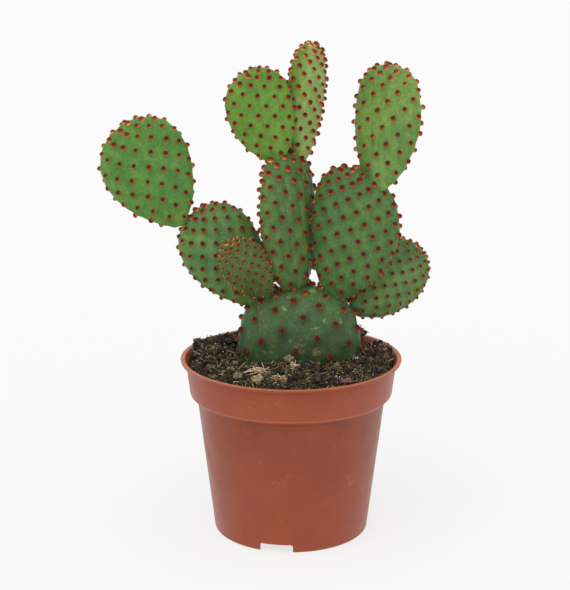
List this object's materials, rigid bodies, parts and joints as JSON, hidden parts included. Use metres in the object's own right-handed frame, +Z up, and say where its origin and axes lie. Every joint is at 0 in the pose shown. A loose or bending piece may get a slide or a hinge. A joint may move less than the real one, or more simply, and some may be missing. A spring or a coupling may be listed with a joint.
{
  "type": "potted paddle cactus",
  "caption": "Paddle cactus with flat, tufted pads growing from one thick base pad, standing in a tapered plastic nursery pot filled with peat.",
  "frame": {"origin": "on the surface the pot stands on, at the middle of the whole part's box; the pot's axis is 12.5 mm to the +X side of it", "axes": "+Z up, the way the plant grows; the front of the plant faces -Y; +X to the right seen from the front"},
  "size_m": [0.1749, 0.12, 0.2627],
  "materials": {
    "pot_plastic": "satin moulded terracotta coloured plastic, lightly scuffed and dusty",
    "peat": "rough, moist, dark peat mix with tan fibres and pale grains",
    "old_skin": "matte waxy dark blue-green skin with corky scars",
    "mature_skin": "matte waxy mid green skin",
    "young_skin": "matte velvety yellow-green young skin",
    "bristles": "dense tufts of fine barbed bristles, golden at the base and maroon at the tip",
    "bark": "rough pinkish brown bark",
    "straw": "dry golden fibres",
    "pebble": "dull grey-tan stone with peat dust",
    "peat_lump": "rough dark crumbly lump"
  },
  "bodies": {
    "root": {"pot": "pot_plastic", "soil": "peat", "base_pad": "old_skin", "middle_pad": "mature_skin", "middle_left_top_pad": "young_skin", "middle_edge_top_pad": "young_skin", "right_pad": "mature_skin", "right_top_pad": "young_skin", "right_back_pad": "mature_skin", "left_pad": "mature_skin", "left_top_pad": "young_skin", "left_front_young_pad": "mature_skin", "bark_chip": "bark", "fibre_lump": "straw", "straw_knot": "straw", "straw_wisp": "straw", "straw_tangle": "straw", "grey_pebble": "pebble", "front_pebble": "pebble", "dark_lump_left": "peat_lump", "dark_lump_front": "peat_lump"}
  },
  "joints": []
}
